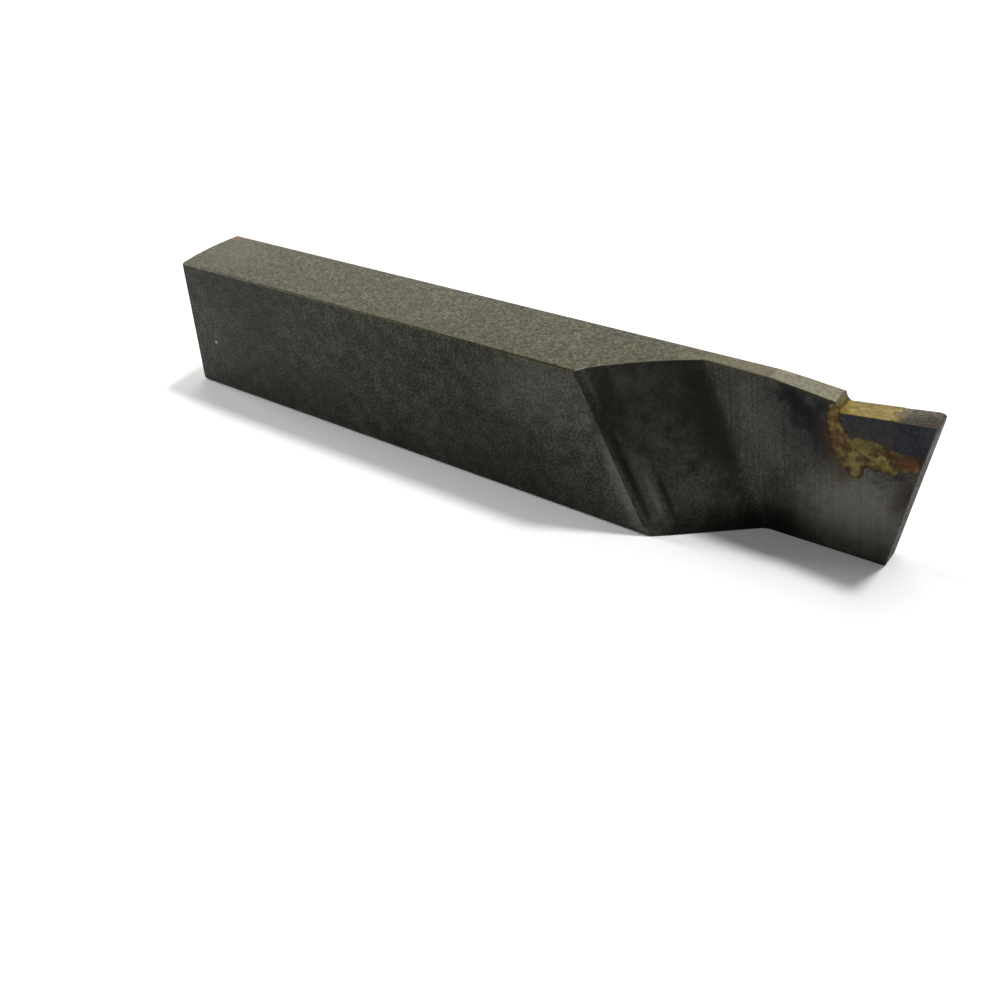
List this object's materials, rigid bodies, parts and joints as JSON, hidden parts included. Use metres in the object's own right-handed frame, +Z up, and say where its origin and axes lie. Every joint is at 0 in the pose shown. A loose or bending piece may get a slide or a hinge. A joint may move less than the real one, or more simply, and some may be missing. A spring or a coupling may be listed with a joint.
{
  "type": "lathe parting tool",
  "caption": "Square-shank lathe parting tool: a steel bar with a narrow offset blade and a brazed carbide cutting tip for cutting off and grooving.",
  "frame": {"origin": "under the middle of the tool, on the plane that its base lies on: halfway between the butt end and the cutting edge, and halfway across the shank", "axes": "+X along the shank towards the cutting edge, +Y across to the side that the blade is flush with, +Z up"},
  "size_m": [0.14, 0.016, 0.025],
  "materials": {
    "blasted_steel": "grit blasted, dull, fine grain",
    "cemented_carbide": "ground, dark grey",
    "brazing_brass": "as flowed, dull, heat tinted"
  },
  "bodies": {
    "root": {"shank": "blasted_steel", "carbide_tip": "cemented_carbide", "braze_joint": "brazing_brass"}
  },
  "joints": []
}
